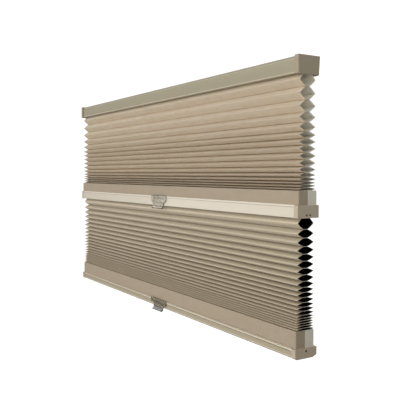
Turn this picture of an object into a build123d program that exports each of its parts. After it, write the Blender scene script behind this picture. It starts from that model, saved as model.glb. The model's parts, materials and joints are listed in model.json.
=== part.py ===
"""Cordless day-and-night honeycomb blind: a headrail, two sprung rails and two cellular fabrics.

X runs along the rails, -Y is the room side and +Z is up. The origin is in the middle of the headrail,
level with the top of its end caps. Sizes are in millimetres.
"""
import os
from math import cos, pi, radians, sin, sqrt, tan

from build123d import *

os.makedirs("parts", exist_ok=True)

# ---- overall ----------------------------------------------------------------------------------------
HEAD_WIDTH = 1140.0  # headrail over its end caps
MIDDLE_RAIL_INSET = 1.0  # each end of the middle rail stops this far inside the headrail's
BOTTOM_RAIL_INSET = 6.0
UPPER_DROP = 230.0  # upper fabric, headrail to middle rail, as the blind hangs
LOWER_DROP = 224.0  # lower fabric, middle rail to bottom rail, as the blind hangs

# ---- headrail ---------------------------------------------------------------------------------------
HEAD_CAP_DEPTH = 56.0
HEAD_CAP_HEIGHT = 37.0
HEAD_CAP_LENGTH = 12.0
HEAD_CAP_END = 2.5  # end wall of the cap
HEAD_CAP_PROUD_FRONT = 3.0  # the cap stands this far outside the channel
HEAD_CAP_PROUD_BACK = 1.0
HEAD_CAP_PROUD_TOP = 2.0
HEAD_CAP_PROUD_BOTTOM = 2.0
HEAD_CAP_LEAN = 2.5  # its back edge leans forward by this much
HEAD_CAP_FOOT = 1.8  # foot under its back edge
HEAD_CAP_FOOT_LENGTH = 9.0
CHANNEL_WALL = 1.4
CHANNEL_LIP = 10.0  # lips that turn in over the open top
CHANNEL_LIP_DROP = 4.0

# ---- slot that holds a fabric's top strip --------------------------------------------------------------
STRIP_NECK = 19.0  # width of the strip that the first cell is glued to
STRIP_HEAD = STRIP_NECK + 8.0
STRIP_THICKNESS = 1.3
SLOT_WALL = 1.2
FABRIC_NOTCH = STRIP_NECK + 7.0  # cut in an end cap's underside for the first cell

# ---- brackets ---------------------------------------------------------------------------------------
BRACKET_INSET = 100.0  # from the end of the headrail
BRACKET_LENGTH = 32.0
BRACKET_GAP = 3.5  # from a leg to the channel's lip
BRACKET_STEEL = 1.6
BRACKET_GRIP = 4.5  # a foot reaches this far under the lip
SCREW_HOLE = 5.0

# ---- fabric -----------------------------------------------------------------------------------------
UPPER_FABRIC_INSET = 4.5  # the fabric ends this far inside the headrail's ends
LOWER_FABRIC_INSET = 9.0
CELL_FACE = 17.6  # from a fold to a glue line
GLUE_WIDTH = 9.5  # flat that joins a cell to the next
CLOTH = 0.35
# The cells hang open at the top and close up towards the rail that carries them.
UPPER_CELLS = (25, 26, 24, 20, 18, 14, 13, 14, 14, 14, 12, 9, 8, 6, 6, 6)
LOWER_CELLS = (23, 17, 17, 15, 14, 14, 13, 13, 12, 10, 10, 10, 9, 8, 8, 6, 5, 5, 5, 5, 5)

# ---- moving rails -----------------------------------------------------------------------------------
BAND_DEPTH = 48.0  # the wrapped spring boxes
MIDDLE_DEPTH = BAND_DEPTH + 6.0
MIDDLE_HEIGHT = 25.0
BOTTOM_DEPTH = BAND_DEPTH + 7.0
BOTTOM_HEIGHT = 20.0
RAIL_WALL = 1.5
RAIL_CAP_LENGTH = 12.0
RAIL_CAP_END = 2.5
RAIL_CAP_PROUD = 0.4
RAIL_CAP_TONGUE = 10.0
RAIL_RIB = 1.2  # ribs along the top of a rail, either side of its spring box
RAIL_STEP = 0.8  # shallow step along the front and back
RAIL_STEP_HEIGHT = 3.0
BOTTOM_BACK_CHAMFER = (10.0, 4.5)
BOTTOM_FRONT_CHAMFER = (4.0, 3.0)
CAP_HOLE = 3.0
MIDDLE_CAP_HOLES = (-4.4, 4.4)  # across the cap
MIDDLE_CAP_HOLE_RISE = 5.5  # above the underside
BOTTOM_CAP_HOLE_FALL = 6.0  # below the top
BALLAST_INSET = 114.0  # from the end of the rail
BALLAST_DEPTH = 20.0
BALLAST_HEIGHT = 5.0

# ---- spring boxes, wrapped in the fabric's own cloth --------------------------------------------------
MIDDLE_BAND = 29.0
BOTTOM_BAND = 35.0
MIDDLE_BAND_INSET = 2.0  # the wrapped box ends this far inside its rail's ends
BOTTOM_BAND_INSET = 3.5
BOX_WALL = 1.2
BOX_END = 2.0
BOX_END_TONGUE = 8.0
WRAP = 0.6

# ---- pull handles -----------------------------------------------------------------------------------
HANDLE_WIDTH = 86.0
HANDLE_LIP_WIDTH = 54.0
HANDLE_THICKNESS = 2.2
HANDLE_LIP_RADIUS = 7.0
HANDLE_HANG = 8.0  # below the underside of the rail
HANDLE_HOOK = 1.0
HANDLE_HOOK_WIDTH = 70.0

# ---- spring motor -----------------------------------------------------------------------------------
TEETH = 26
ADDENDUM = 1.0
DEDENDUM = 1.7
PRESSURE_ANGLE = 20.0
BACKLASH = 0.5  # on each tooth
CENTRE_EASE = 0.1  # the gears stand this much further apart than their pitch circles
GEAR_THICKNESS = 3.0
FLANGE_THICKNESS = 2.0
SPOOL_HUB = 10.0
SPOOL_FLANGE = 14.0
DRUM_HUB = 8.0
DRUM_FLANGE_STEP = 1.25  # the flanges are this much smaller than the gears
AXLE = 3.0
RUNNING_FIT = 0.08
END_FLOAT = 0.3
CASE_WALL = 1.5
CASE_SIDE_GAP = 3.0  # beside the gears, where a cord runs
CASE_END_GAP = 1.0
CASE_HEADROOM = 5.4  # above the case's cover in the lower of the two boxes
COVER_SCREW = 1.4
SPRING_STRIP = 0.5
STORAGE_COIL = 5.5  # thickness of the turns on each drum
OUTPUT_COIL = 2.8

# ---- lift cords -------------------------------------------------------------------------------------
CORD = 1.4
CORD_INSET = 160.0  # from the end of the headrail
CORD_HOLE = 5.0
CORD_BEND = 5.0
CORD_BORE = CORD + 1.2
KNOT = CORD + 3.0
GROMMET_BARREL = 8.0
GROMMET_FLANGE = 12.0
GROMMET_THICKNESS = 1.0
GUIDE_LENGTH = 16.0
GUIDE_DEPTH = 12.0
GUIDE_NECK = 6.4

# ---- clearances -------------------------------------------------------------------------------------
SLIDE_FIT = 0.15  # pieces that slide together and stay put
HOLE_FIT = 0.2

# ---- levels, from the top down ----------------------------------------------------------------------
CHANNEL_TOP = -HEAD_CAP_PROUD_TOP
CHANNEL_BOTTOM = -HEAD_CAP_HEIGHT + HEAD_CAP_PROUD_BOTTOM
CHANNEL_FRONT = -HEAD_CAP_DEPTH / 2 + HEAD_CAP_PROUD_FRONT
CHANNEL_BACK = HEAD_CAP_DEPTH / 2 - HEAD_CAP_PROUD_BACK
MIDDLE_WIDTH = HEAD_WIDTH - 2 * MIDDLE_RAIL_INSET
BOTTOM_WIDTH = HEAD_WIDTH - 2 * BOTTOM_RAIL_INSET
MIDDLE_BAND_TOP = CHANNEL_BOTTOM - UPPER_DROP
MIDDLE_TOP = MIDDLE_BAND_TOP - MIDDLE_BAND
MIDDLE_BOTTOM = MIDDLE_TOP - MIDDLE_HEIGHT
BOTTOM_BAND_TOP = MIDDLE_BOTTOM - LOWER_DROP
BOTTOM_TOP = BOTTOM_BAND_TOP - BOTTOM_BAND
BOTTOM_BOTTOM = BOTTOM_TOP - BOTTOM_HEIGHT
SLOT_DEPTH = SLOT_WALL + STRIP_THICKNESS + SLIDE_FIT
CORD_X = HEAD_WIDTH / 2 - CORD_INSET

# ---- motor, which fills its box from front to back ------------------------------------------------------
CASE_HALF_DEPTH = BAND_DEPTH / 2 - WRAP - BOX_WALL - HOLE_FIT - CASE_WALL
GEAR_RADIUS = CASE_HALF_DEPTH - CASE_SIDE_GAP
PITCH_RADIUS = GEAR_RADIUS - ADDENDUM
GEAR_CENTRES = 2 * PITCH_RADIUS + CENTRE_EASE
DRUM_FLANGE = GEAR_RADIUS - DRUM_FLANGE_STEP
DRUM_CENTRES = DRUM_FLANGE + GEAR_RADIUS + END_FLOAT
CASE_INNER = DRUM_FLANGE + DRUM_CENTRES + 2 * GEAR_CENTRES + GEAR_RADIUS + 2 * CASE_END_GAP
STORAGE_X = -CASE_INNER / 2 + CASE_END_GAP + DRUM_FLANGE
OUTPUT_X = STORAGE_X + DRUM_CENTRES
SPOOL_LEFT_X = OUTPUT_X + GEAR_CENTRES
SPOOL_RIGHT_X = SPOOL_LEFT_X + GEAR_CENTRES
CASE_INNER_HEIGHT = MIDDLE_BAND - WRAP - 2 * BOX_WALL - CASE_HEADROOM - 2 * CASE_WALL
ROTOR_HEIGHT = CASE_INNER_HEIGHT - 2 * END_FLOAT
HUB_HEIGHT = ROTOR_HEIGHT - GEAR_THICKNESS - FLANGE_THICKNESS
WINDING_HALF = HUB_HEIGHT / 2 - 2 * HOLE_FIT
OFF_SPOOL = SPOOL_HUB + 1.5 * CORD + HOLE_FIT  # a cord leaves its spool over the wound turns


def block(x0, x1, y0, y1, z0, z1):
    """A box between three pairs of limits."""
    return Pos((x0 + x1) / 2, (y0 + y1) / 2, (z0 + z1) / 2) * Box(x1 - x0, y1 - y0, z1 - z0)


def post(x, y, z0, z1, diameter):
    """An upright cylinder."""
    return Pos(x, y, (z0 + z1) / 2) * Cylinder(diameter / 2, z1 - z0)


def cross(y0, y1, z0, z1):
    """A rectangle in a rail's cross-section, as corner points."""
    return [(y0, z0), (y1, z0), (y1, z1), (y0, z1)]


def along(points, x0, x1):
    """A cross-section outline carried along X from x0 to x1."""
    return extrude(Plane.YZ.offset(x0) * Polygon(*points, align=None), amount=x1 - x0, dir=(1, 0, 0))


def save(name, shape):
    """One STEP file for one piece, or for a group of identical ones."""
    export_step(shape, f"parts/{name}.step")


def both(piece):
    """A piece and its mirror image at the other end of the blind."""
    return Compound(children=[*piece.solids(), *mirror(piece, about=Plane.YZ).solids()])


def strip_slot(underside, x0, x1):
    """The T-shaped slot along the underside of a rail, which takes a fabric's top strip."""
    mouth = STRIP_NECK / 2 + SLIDE_FIT
    pocket = STRIP_HEAD / 2 + SLIDE_FIT
    return along(cross(-mouth, mouth, underside - 1, underside + SLOT_DEPTH), x0, x1) + along(
        cross(-pocket, pocket, underside + SLOT_WALL, underside + SLOT_DEPTH), x0, x1
    )


def fabric_strip(underside, half_width):
    """The T-shaped strip that a fabric's first cell is glued to."""
    neck = along(
        cross(-STRIP_NECK / 2, STRIP_NECK / 2, underside, underside + SLOT_WALL), -half_width, half_width
    )
    head = along(
        cross(-STRIP_HEAD / 2, STRIP_HEAD / 2, underside + SLOT_WALL, underside + SLOT_WALL + STRIP_THICKNESS),
        -half_width,
        half_width,
    )
    return neck + head - cord_holes(underside - 1, underside + SLOT_DEPTH, CORD_HOLE)


def cord_holes(z0, z1, diameter):
    """The two upright bores that the lift cords pass through."""
    return post(-CORD_X, 0, z0, z1, diameter) + post(CORD_X, 0, z0, z1, diameter)


def grommets(floor):
    """Flanged grommets that stand in a rail's floor and hold the knots of the lift cords."""
    flange = post(CORD_X, 0, floor, floor + GROMMET_THICKNESS, GROMMET_FLANGE)
    barrel = post(CORD_X, 0, floor - CHANNEL_WALL, floor, GROMMET_BARREL)
    return both(flange + barrel - post(CORD_X, 0, floor - 5, floor + 5, CORD_BORE))


def fabric_notch(level, fabric_end):
    """The notch under an end cap that the fabric's first cell runs into."""
    return block(0, fabric_end + HOLE_FIT, -FABRIC_NOTCH / 2, FABRIC_NOTCH / 2, level - 5, level)


def hanging_cord(side, lower, floor):
    """A lift cord's free run, from a rail's guide up to the knot on its grommet."""
    seat = floor + GROMMET_THICKNESS
    cord = post(side * CORD_X, 0, lower, seat + KNOT / 2, CORD)
    return cord + Pos(side * CORD_X, 0, seat + KNOT / 2) * Sphere(KNOT / 2)


def honeycomb(top, drop, cells, half_width):
    """A cellular fabric: hexagonal tubes glued flat to flat, cut square at both ends.

    A cell's folds stand out from its glue lines by the root of face squared less half height squared.
    """
    scale = drop / sum(cells)
    levels = [top - scale * sum(cells[:k]) for k in range(len(cells) + 1)]
    flats = [STRIP_NECK / 2] + [GLUE_WIDTH / 2] * (len(cells) - 1) + [STRIP_NECK / 2]
    front = []
    tubes = []
    for k, height in enumerate(cells):
        middle = (levels[k] + levels[k + 1]) / 2
        fold = GLUE_WIDTH / 2 + sqrt(CELL_FACE**2 - (scale * height / 2) ** 2)
        front += [(-flats[k], levels[k]), (-fold, middle)]
        tubes.append(
            [
                (-flats[k], levels[k]),
                (-fold, middle),
                (-flats[k + 1], levels[k + 1]),
                (flats[k + 1], levels[k + 1]),
                (fold, middle),
                (flats[k], levels[k]),
            ]
        )
    front.append((-flats[-1], levels[-1]))
    section = Polygon(*front, *[(-y, z) for y, z in reversed(front)], align=None)
    for tube in tubes:
        section -= offset(Polygon(*tube, align=None), amount=-CLOTH, kind=Kind.INTERSECTION)
    cloth = extrude(Plane.YZ.offset(-half_width) * section, amount=2 * half_width, dir=(1, 0, 0))
    return cloth - cord_holes(levels[-1] - 1, top + 1, CORD_HOLE)


def headrail():
    """The aluminium channel, its two end caps, the snap-in brackets and the pieces that hold the fabric."""
    end = HEAD_WIDTH / 2 - HEAD_CAP_END
    inner = (CHANNEL_FRONT + CHANNEL_WALL, CHANNEL_BACK - CHANNEL_WALL)
    floor = CHANNEL_BOTTOM + SLOT_DEPTH + CHANNEL_WALL
    channel = along(cross(CHANNEL_FRONT, CHANNEL_BACK, CHANNEL_BOTTOM, CHANNEL_TOP), -end, end)
    channel -= along(cross(*inner, floor, CHANNEL_TOP - CHANNEL_WALL), -end, end)
    mouth = (CHANNEL_FRONT + CHANNEL_LIP, CHANNEL_BACK - CHANNEL_LIP)
    channel -= along(cross(*mouth, floor, CHANNEL_TOP + 1), -end, end)
    for lip in (mouth[0] - CHANNEL_WALL, mouth[1]):
        turned_down = cross(lip, lip + CHANNEL_WALL, CHANNEL_TOP - CHANNEL_LIP_DROP, CHANNEL_TOP)
        channel += along(turned_down, -end, end)
    channel -= strip_slot(CHANNEL_BOTTOM, -end, end)
    channel -= cord_holes(CHANNEL_BOTTOM, floor + 1, GROMMET_BARREL + 2 * HOLE_FIT)
    save("headrail_channel", channel)

    half = HEAD_CAP_DEPTH / 2
    outline = [
        (-half, -HEAD_CAP_HEIGHT),
        (-half, 0),
        (half, 0),
        (half - HEAD_CAP_LEAN, -HEAD_CAP_HEIGHT),
        (half - HEAD_CAP_LEAN - 2, -HEAD_CAP_HEIGHT - HEAD_CAP_FOOT),
        (half - HEAD_CAP_LEAN - HEAD_CAP_FOOT_LENGTH + 3, -HEAD_CAP_HEIGHT - HEAD_CAP_FOOT),
        (half - HEAD_CAP_LEAN - HEAD_CAP_FOOT_LENGTH, -HEAD_CAP_HEIGHT),
    ]
    cap = along(outline, HEAD_WIDTH / 2 - HEAD_CAP_LENGTH, HEAD_WIDTH / 2)
    sleeve = cross(
        CHANNEL_FRONT - SLIDE_FIT, CHANNEL_BACK + SLIDE_FIT, CHANNEL_BOTTOM - SLIDE_FIT, CHANNEL_TOP + SLIDE_FIT
    )
    cap -= along(sleeve, HEAD_WIDTH / 2 - HEAD_CAP_LENGTH - 1, end)
    clip = 12.0  # spring tongue inside the channel
    tongue = cross(inner[0] + SLIDE_FIT, inner[0] + 2 + SLIDE_FIT, floor + 4, floor + 4 + clip)
    cap += along(tongue, end - 2 * HEAD_CAP_LENGTH, end)
    cap -= fabric_notch(CHANNEL_BOTTOM - SLIDE_FIT, HEAD_WIDTH / 2 - UPPER_FABRIC_INSET)
    save("headrail_cap_right", cap)
    save("headrail_cap_left", mirror(cap, about=Plane.YZ))

    middle = HEAD_WIDTH / 2 - BRACKET_INSET
    ends = (middle - BRACKET_LENGTH / 2, middle + BRACKET_LENGTH / 2)
    grip = CHANNEL_TOP - CHANNEL_LIP_DROP
    legs = (mouth[0] + BRACKET_GAP, mouth[1] - BRACKET_GAP)
    bracket = along(cross(*legs, -BRACKET_STEEL, 0), *ends)
    for side, plate in zip((-1, 1), legs):
        leg = sorted((plate, plate - side * BRACKET_STEEL))
        foot = sorted((plate, plate + side * (BRACKET_GAP + BRACKET_GRIP)))
        bracket += along(cross(*leg, grip - BRACKET_STEEL, 0), *ends)
        bracket += along(cross(*foot, grip - BRACKET_STEEL, grip), *ends)
    bracket -= post(middle, 0, -5, 1, SCREW_HOLE)
    save("bracket_right", bracket)
    save("bracket_left", mirror(bracket, about=Plane.YZ))

    save("head_fabric_strip", fabric_strip(CHANNEL_BOTTOM, end - HEAD_CAP_LENGTH))
    save("head_cord_grommets", grommets(floor))
    for name, side in (("left", -1), ("right", 1)):
        save(f"upper_lift_cord_{name}", hanging_cord(side, MIDDLE_BAND_TOP, floor))


def rail_outline(depth, top, bottom, front_cut, back_cut, grow):
    """A moving rail's outline, grown all round by grow: a box with its lower corners cut."""
    half = depth / 2 + grow
    base = bottom - grow
    outline = [(-half, top), (half, top)]
    outline += [(half, base + back_cut[1]), (half - back_cut[0], base)] if back_cut else [(half, base)]
    outline += [(-half + front_cut[0], base), (-half, base + front_cut[1])] if front_cut else [(-half, base)]
    return outline


def rail_extrusion(depth, top, bottom, front_cut, back_cut, end):
    """A hollow aluminium rail with ribs along its top edges and a shallow step along its faces."""
    rail = along(rail_outline(depth, top, bottom, front_cut, back_cut, 0), -end, end)
    for side in (-1, 1):
        face = side * depth / 2
        step = sorted((face, face - side * RAIL_STEP))
        rail -= along(cross(*step, top - RAIL_STEP_HEIGHT, top + 1), -end, end)
        rib = sorted((face - side * RAIL_STEP, side * (BAND_DEPTH / 2 + SLIDE_FIT)))
        rail += along(cross(*rib, top, top + RAIL_RIB), -end, end)
    return rail


def rail_cap(depth, top, bottom, front_cut, back_cut, width, cavity):
    """A plug-in end cap: a plate as large as the rail with a tongue inside it."""
    inner = width / 2 - RAIL_CAP_LENGTH
    cap = along(rail_outline(depth, top, bottom, front_cut, back_cut, RAIL_CAP_PROUD), inner, width / 2)
    return cap + offset_prism(cavity, inner - RAIL_CAP_TONGUE, inner)


def offset_prism(outline, x0, x1):
    """A prism with an outline drawn in by the sliding fit, so that it goes into a cavity of that outline."""
    section = offset(Polygon(*outline, align=None), amount=-SLIDE_FIT, kind=Kind.INTERSECTION)
    return extrude(Plane.YZ.offset(x0) * section, amount=x1 - x0, dir=(1, 0, 0))


def gear(x, phase, z0):
    """A spur gear with straight-sided teeth; phase turns it by that share of a tooth."""
    slope = tan(radians(PRESSURE_ANGLE))
    half = (pi * PITCH_RADIUS / TEETH - BACKLASH) / 2
    tip = half - ADDENDUM * slope
    root = half + DEDENDUM * slope
    points = []
    for tooth in range(TEETH):
        angle = 2 * pi * (tooth + phase) / TEETH
        for width, radius in ((-root, -DEDENDUM), (-tip, ADDENDUM), (tip, ADDENDUM), (root, -DEDENDUM)):
            reach = PITCH_RADIUS + radius
            points.append((x + reach * cos(angle) - width * sin(angle), reach * sin(angle) + width * cos(angle)))
    return extrude(Plane.XY.offset(z0) * Polygon(*points, align=None), amount=GEAR_THICKNESS)


def rotor(x, base, hub, flange, phase=None):
    """A spool or spring drum: a gear or plain flange, a hub and an upper flange, bored for its axle."""
    hub_z = base + GEAR_THICKNESS
    if phase is None:
        body = post(x, 0, base, hub_z, 2 * flange)
    else:
        body = gear(x, phase, base)
    body += post(x, 0, hub_z, hub_z + HUB_HEIGHT, 2 * hub)
    body += post(x, 0, hub_z + HUB_HEIGHT, base + ROTOR_HEIGHT, 2 * flange)
    return body - post(x, 0, base - 1, base + ROTOR_HEIGHT + 1, 2 * (AXLE + RUNNING_FIT))


def motor(name, floor):
    """A spring motor that lies on the floor of a spring box: two drums, the spring and two cord spools."""
    base = floor + CASE_WALL
    rotor_base = base + END_FLOAT
    rim = base + CASE_INNER_HEIGHT
    half = CASE_INNER / 2
    side = CASE_HALF_DEPTH
    cord_z = rotor_base + GEAR_THICKNESS + HUB_HEIGHT / 2
    boss = 2 * COVER_SCREW  # radius of a screw boss, which is sunk a little into the case's wall
    by_wall = 0.8 * boss
    beside_lane = side - CASE_SIDE_GAP - boss - COVER_SCREW / 2
    corners = [(x, beside_lane) for x in (by_wall - half, half - by_wall)]
    corners += [(by_wall - half, -beside_lane), (half - by_wall, by_wall - side)]
    rotors_x = (STORAGE_X, OUTPUT_X, SPOOL_LEFT_X, SPOOL_RIGHT_X)

    case = block(-half - CASE_WALL, half + CASE_WALL, -side - CASE_WALL, side + CASE_WALL, floor, rim)
    case -= block(-half, half, -side, side, base, rim + 1)
    for x in rotors_x:
        case += post(x, 0, base, rim, 2 * AXLE)
    for x, y in corners:
        case += post(x, y, base, rim, 2 * boss)
        case -= post(x, y, rim - 8, rim + 1, 2 * (COVER_SCREW + RUNNING_FIT))
    slot = (-side, -side + 2 * CASE_SIDE_GAP)
    case -= block(-half - CASE_WALL - 1, -half + 1, *slot, cord_z - CORD_BORE / 2, cord_z + CORD_BORE / 2)
    exit_y = (-OFF_SPOOL - CORD_BORE, -OFF_SPOOL + CORD_BORE)
    case -= block(half - 1, half + CASE_WALL + 1, *exit_y, cord_z - CORD_BORE / 2, cord_z + CORD_BORE / 2)
    save(f"{name}_motor_case", case)

    cover = block(-half - CASE_WALL, half + CASE_WALL, -side - CASE_WALL, side + CASE_WALL, rim, rim + CASE_WALL)
    screws = []
    for x, y in corners:
        cover -= post(x, y, rim - 1, rim + CASE_WALL + 1, 2 * (COVER_SCREW + HOLE_FIT))
        head = post(x, y, rim + CASE_WALL, rim + CASE_WALL + COVER_SCREW, 3.6 * COVER_SCREW)
        screws.append(head + post(x, y, rim - 7, rim + CASE_WALL, 2 * COVER_SCREW))
    save(f"{name}_motor_cover", cover)
    save(f"{name}_motor_screws", Compound(children=[s for screw in screws for s in screw.solids()]))

    save(f"{name}_storage_drum", rotor(STORAGE_X, rotor_base, DRUM_HUB, DRUM_FLANGE))
    save(f"{name}_output_drum", rotor(OUTPUT_X, rotor_base, DRUM_HUB, DRUM_FLANGE, 0))
    save(f"{name}_spool_left", rotor(SPOOL_LEFT_X, rotor_base, SPOOL_HUB, SPOOL_FLANGE, 0.5))
    save(f"{name}_spool_right", rotor(SPOOL_RIGHT_X, rotor_base, SPOOL_HUB, SPOOL_FLANGE, 0))
    for side_name, x in (("left", SPOOL_LEFT_X), ("right", SPOOL_RIGHT_X)):
        turns = post(x, 0, cord_z - WINDING_HALF, cord_z + WINDING_HALF, 2 * (SPOOL_HUB + CORD))
        turns -= post(x, 0, cord_z - HUB_HEIGHT, cord_z + HUB_HEIGHT, 2 * SPOOL_HUB)
        save(f"{name}_cord_winding_{side_name}", turns)

    spring_z = (rotor_base + GEAR_THICKNESS + END_FLOAT, rotor_base + GEAR_THICKNESS + HUB_HEIGHT - END_FLOAT)
    bore = DRUM_HUB + END_FLOAT
    stored = bore + STORAGE_COIL
    wound = bore + OUTPUT_COIL
    spring = post(STORAGE_X, 0, *spring_z, 2 * stored) + post(OUTPUT_X, 0, *spring_z, 2 * wound)
    outside = [(STORAGE_X, -stored), (OUTPUT_X, -wound)]
    inside = [(OUTPUT_X, -wound + SPRING_STRIP), (STORAGE_X, -stored + SPRING_STRIP)]
    ribbon = Plane.XY.offset(spring_z[0]) * Polygon(*outside, *inside, align=None)
    spring += extrude(ribbon, amount=spring_z[1] - spring_z[0])
    for x in (STORAGE_X, OUTPUT_X):
        spring -= post(x, 0, floor, rim, 2 * bore)
    save(f"{name}_motor_spring", spring)
    return cord_z


def cord_runs(name, cord_z, top):
    """The lift cords inside a spring box: off each spool, along the box, and up out of its guide."""
    lane = -CASE_HALF_DEPTH + CASE_SIDE_GAP / 2
    left = [
        (SPOOL_LEFT_X - 2, -OFF_SPOOL, cord_z),
        (OUTPUT_X, lane, cord_z),
        (-CASE_INNER / 2 - 5, lane, cord_z),
        (-CORD_X, 0, cord_z),
        (-CORD_X, 0, top),
    ]
    right = [(SPOOL_RIGHT_X + 2, -OFF_SPOOL, cord_z), (CORD_X, 0, cord_z), (CORD_X, 0, top)]
    runs = []
    for points, radii in ((left, [40, 60, CORD_BEND]), (right, [CORD_BEND])):
        path = FilletPolyline(*points, radius=radii)
        start = Plane(points[0], z_dir=Vector(*points[1]) - Vector(*points[0]))
        runs += sweep(start * Circle(CORD / 2), path=path).solids()
    save(f"{name}_cord_runs", Compound(children=runs))


def cord_guides(name, floor, ceiling, top, cord_z):
    """Moulded guides that turn the lift cords upwards through the top of the spring box."""
    guide = block(
        CORD_X - GUIDE_LENGTH / 2,
        CORD_X + GUIDE_LENGTH / 2,
        -GUIDE_DEPTH / 2,
        GUIDE_DEPTH / 2,
        floor,
        ceiling - HOLE_FIT,
    )
    guide += post(CORD_X, 0, ceiling - HOLE_FIT, top, GUIDE_NECK)
    guide -= post(CORD_X, 0, cord_z, top + 1, CORD_BORE)
    guide -= block(
        CORD_X - GUIDE_LENGTH, CORD_X, -CORD_BORE, CORD_BORE, cord_z - CORD_BORE / 2, cord_z + CORD_BORE / 2
    )
    guide -= Pos(CORD_X - CORD_BEND / 2, 0, cord_z + CORD_BEND / 2) * Box(
        CORD_BEND + CORD_BORE, CORD_BORE, CORD_BEND + CORD_BORE
    )
    save(f"{name}_cord_guides", both(guide))


def spring_box(name, top, height, width, inset):
    """The box on top of a moving rail: a tube, two end plates and the cloth that wraps it."""
    end = width / 2 - inset
    foot = top - height
    half = BAND_DEPTH / 2
    ceiling = top - WRAP - BOX_WALL
    floor = foot + BOX_WALL
    neck_holes = cord_holes(ceiling - 1, top + 1, GUIDE_NECK + 2 * HOLE_FIT)
    tube_end = end - WRAP - BOX_END
    outer = cross(-half + WRAP, half - WRAP, foot, top - WRAP)
    inner = cross(-half + WRAP + BOX_WALL, half - WRAP - BOX_WALL, floor, ceiling)
    save(f"{name}_spring_box", along(outer, -tube_end, tube_end) - along(inner, -tube_end, tube_end) - neck_holes)

    plate = along(outer, tube_end, end - WRAP)
    plate += offset_prism(inner, tube_end - BOX_END_TONGUE, tube_end)
    save(f"{name}_box_ends", both(plate))

    wrap = block(-end, end, -half, half, foot, top)
    wrap -= block(-end + WRAP, end - WRAP, -half + WRAP, half - WRAP, foot - 1, top - WRAP)
    wrap -= neck_holes
    save(f"{name}_wrap_front", wrap & block(-end, end, -half, 0, foot, top))
    save(f"{name}_wrap_back", wrap & block(-end, end, 0, half, foot, top))

    cord_z = motor(name, floor)
    cord_runs(name, cord_z, top)
    cord_guides(name, floor, ceiling, top, cord_z)


def handle(name, depth, top, bottom):
    """A clear pull: a plate down the front of the rail that curls forward into a lip below it."""
    back = -depth / 2 - RAIL_CAP_PROUD
    front = back - HANDLE_THICKNESS
    turn = bottom - HANDLE_HANG + HANDLE_LIP_RADIUS
    profile = Polygon(*cross(front, back, turn, top + RAIL_RIB), align=None)
    curl = Pos(back - HANDLE_LIP_RADIUS, turn) * (
        Circle(HANDLE_LIP_RADIUS) - Circle(HANDLE_LIP_RADIUS - HANDLE_THICKNESS)
    )
    quarter = Pos(back - HANDLE_LIP_RADIUS / 2, turn - HANDLE_LIP_RADIUS / 2) * Rectangle(
        HANDLE_LIP_RADIUS, HANDLE_LIP_RADIUS
    )
    profile += curl & quarter
    half = HANDLE_WIDTH / 2
    pull = extrude(Plane.YZ.offset(-half) * profile, amount=2 * half)
    tip = bottom - HANDLE_HANG - 1
    narrow = HANDLE_LIP_WIDTH / 2
    outline = [
        (-half, top + RAIL_RIB + 1),
        (half, top + RAIL_RIB + 1),
        (half, (top + bottom) / 2),
        (narrow, tip),
        (-narrow, tip),
        (-half, (top + bottom) / 2),
    ]
    face = Polygon(*outline, align=None)
    corners = face.vertices().group_by(Axis.Y)[0]
    shoulders = face.vertices().group_by(Axis.Y)[1]
    face = fillet([*corners, *shoulders], radius=HANDLE_LIP_RADIUS)
    pull &= extrude(Plane.XZ.offset(-back + 1) * face, amount=3 * HANDLE_LIP_RADIUS, both=True)
    hook = sorted((back, -BAND_DEPTH / 2 - SLIDE_FIT - RAIL_RIB))
    grip = HANDLE_HOOK_WIDTH / 2
    pull += block(-grip, grip, *hook, top + RAIL_RIB, top + RAIL_RIB + HANDLE_HOOK)
    pull += block(-grip, grip, front, back, top + RAIL_RIB, top + RAIL_RIB + HANDLE_HOOK)
    save(f"{name}_handle", pull)


def middle_rail():
    """The middle rail, which carries the upper fabric's foot and the lower fabric's head."""
    end = MIDDLE_WIDTH / 2 - RAIL_CAP_LENGTH
    half = MIDDLE_DEPTH / 2 - RAIL_STEP - RAIL_WALL
    floor = MIDDLE_BOTTOM + SLOT_DEPTH + CHANNEL_WALL
    cavity = cross(-half, half, floor, MIDDLE_TOP - RAIL_WALL)
    shape = (MIDDLE_DEPTH, MIDDLE_TOP, MIDDLE_BOTTOM, None, None)
    rail = rail_extrusion(*shape, end) - along(cavity, -end, end)
    rail -= strip_slot(MIDDLE_BOTTOM, -end, end)
    rail -= cord_holes(MIDDLE_BOTTOM, floor + 1, GROMMET_BARREL + 2 * HOLE_FIT)
    save("middle_rail", rail)
    cap = rail_cap(*shape, MIDDLE_WIDTH, cavity)
    for y in MIDDLE_CAP_HOLES:
        hole = Pos(MIDDLE_WIDTH / 2, y, MIDDLE_BOTTOM + MIDDLE_CAP_HOLE_RISE)
        cap -= hole * Rot(0, 90, 0) * Cylinder(CAP_HOLE / 2, 2 * RAIL_CAP_LENGTH - 2 * RAIL_CAP_END)
    cap -= fabric_notch(MIDDLE_BOTTOM, HEAD_WIDTH / 2 - LOWER_FABRIC_INSET)
    save("middle_cap_right", cap)
    save("middle_cap_left", mirror(cap, about=Plane.YZ))
    save("middle_fabric_strip", fabric_strip(MIDDLE_BOTTOM, HEAD_WIDTH / 2 - LOWER_FABRIC_INSET - RAIL_CAP_LENGTH))
    save("middle_cord_grommets", grommets(floor))
    for name, side in (("left", -1), ("right", 1)):
        save(f"lower_lift_cord_{name}", hanging_cord(side, BOTTOM_BAND_TOP, floor))
    spring_box("middle", MIDDLE_BAND_TOP, MIDDLE_BAND, MIDDLE_WIDTH, MIDDLE_BAND_INSET)
    handle("middle", MIDDLE_DEPTH, MIDDLE_TOP, MIDDLE_BOTTOM)


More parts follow.
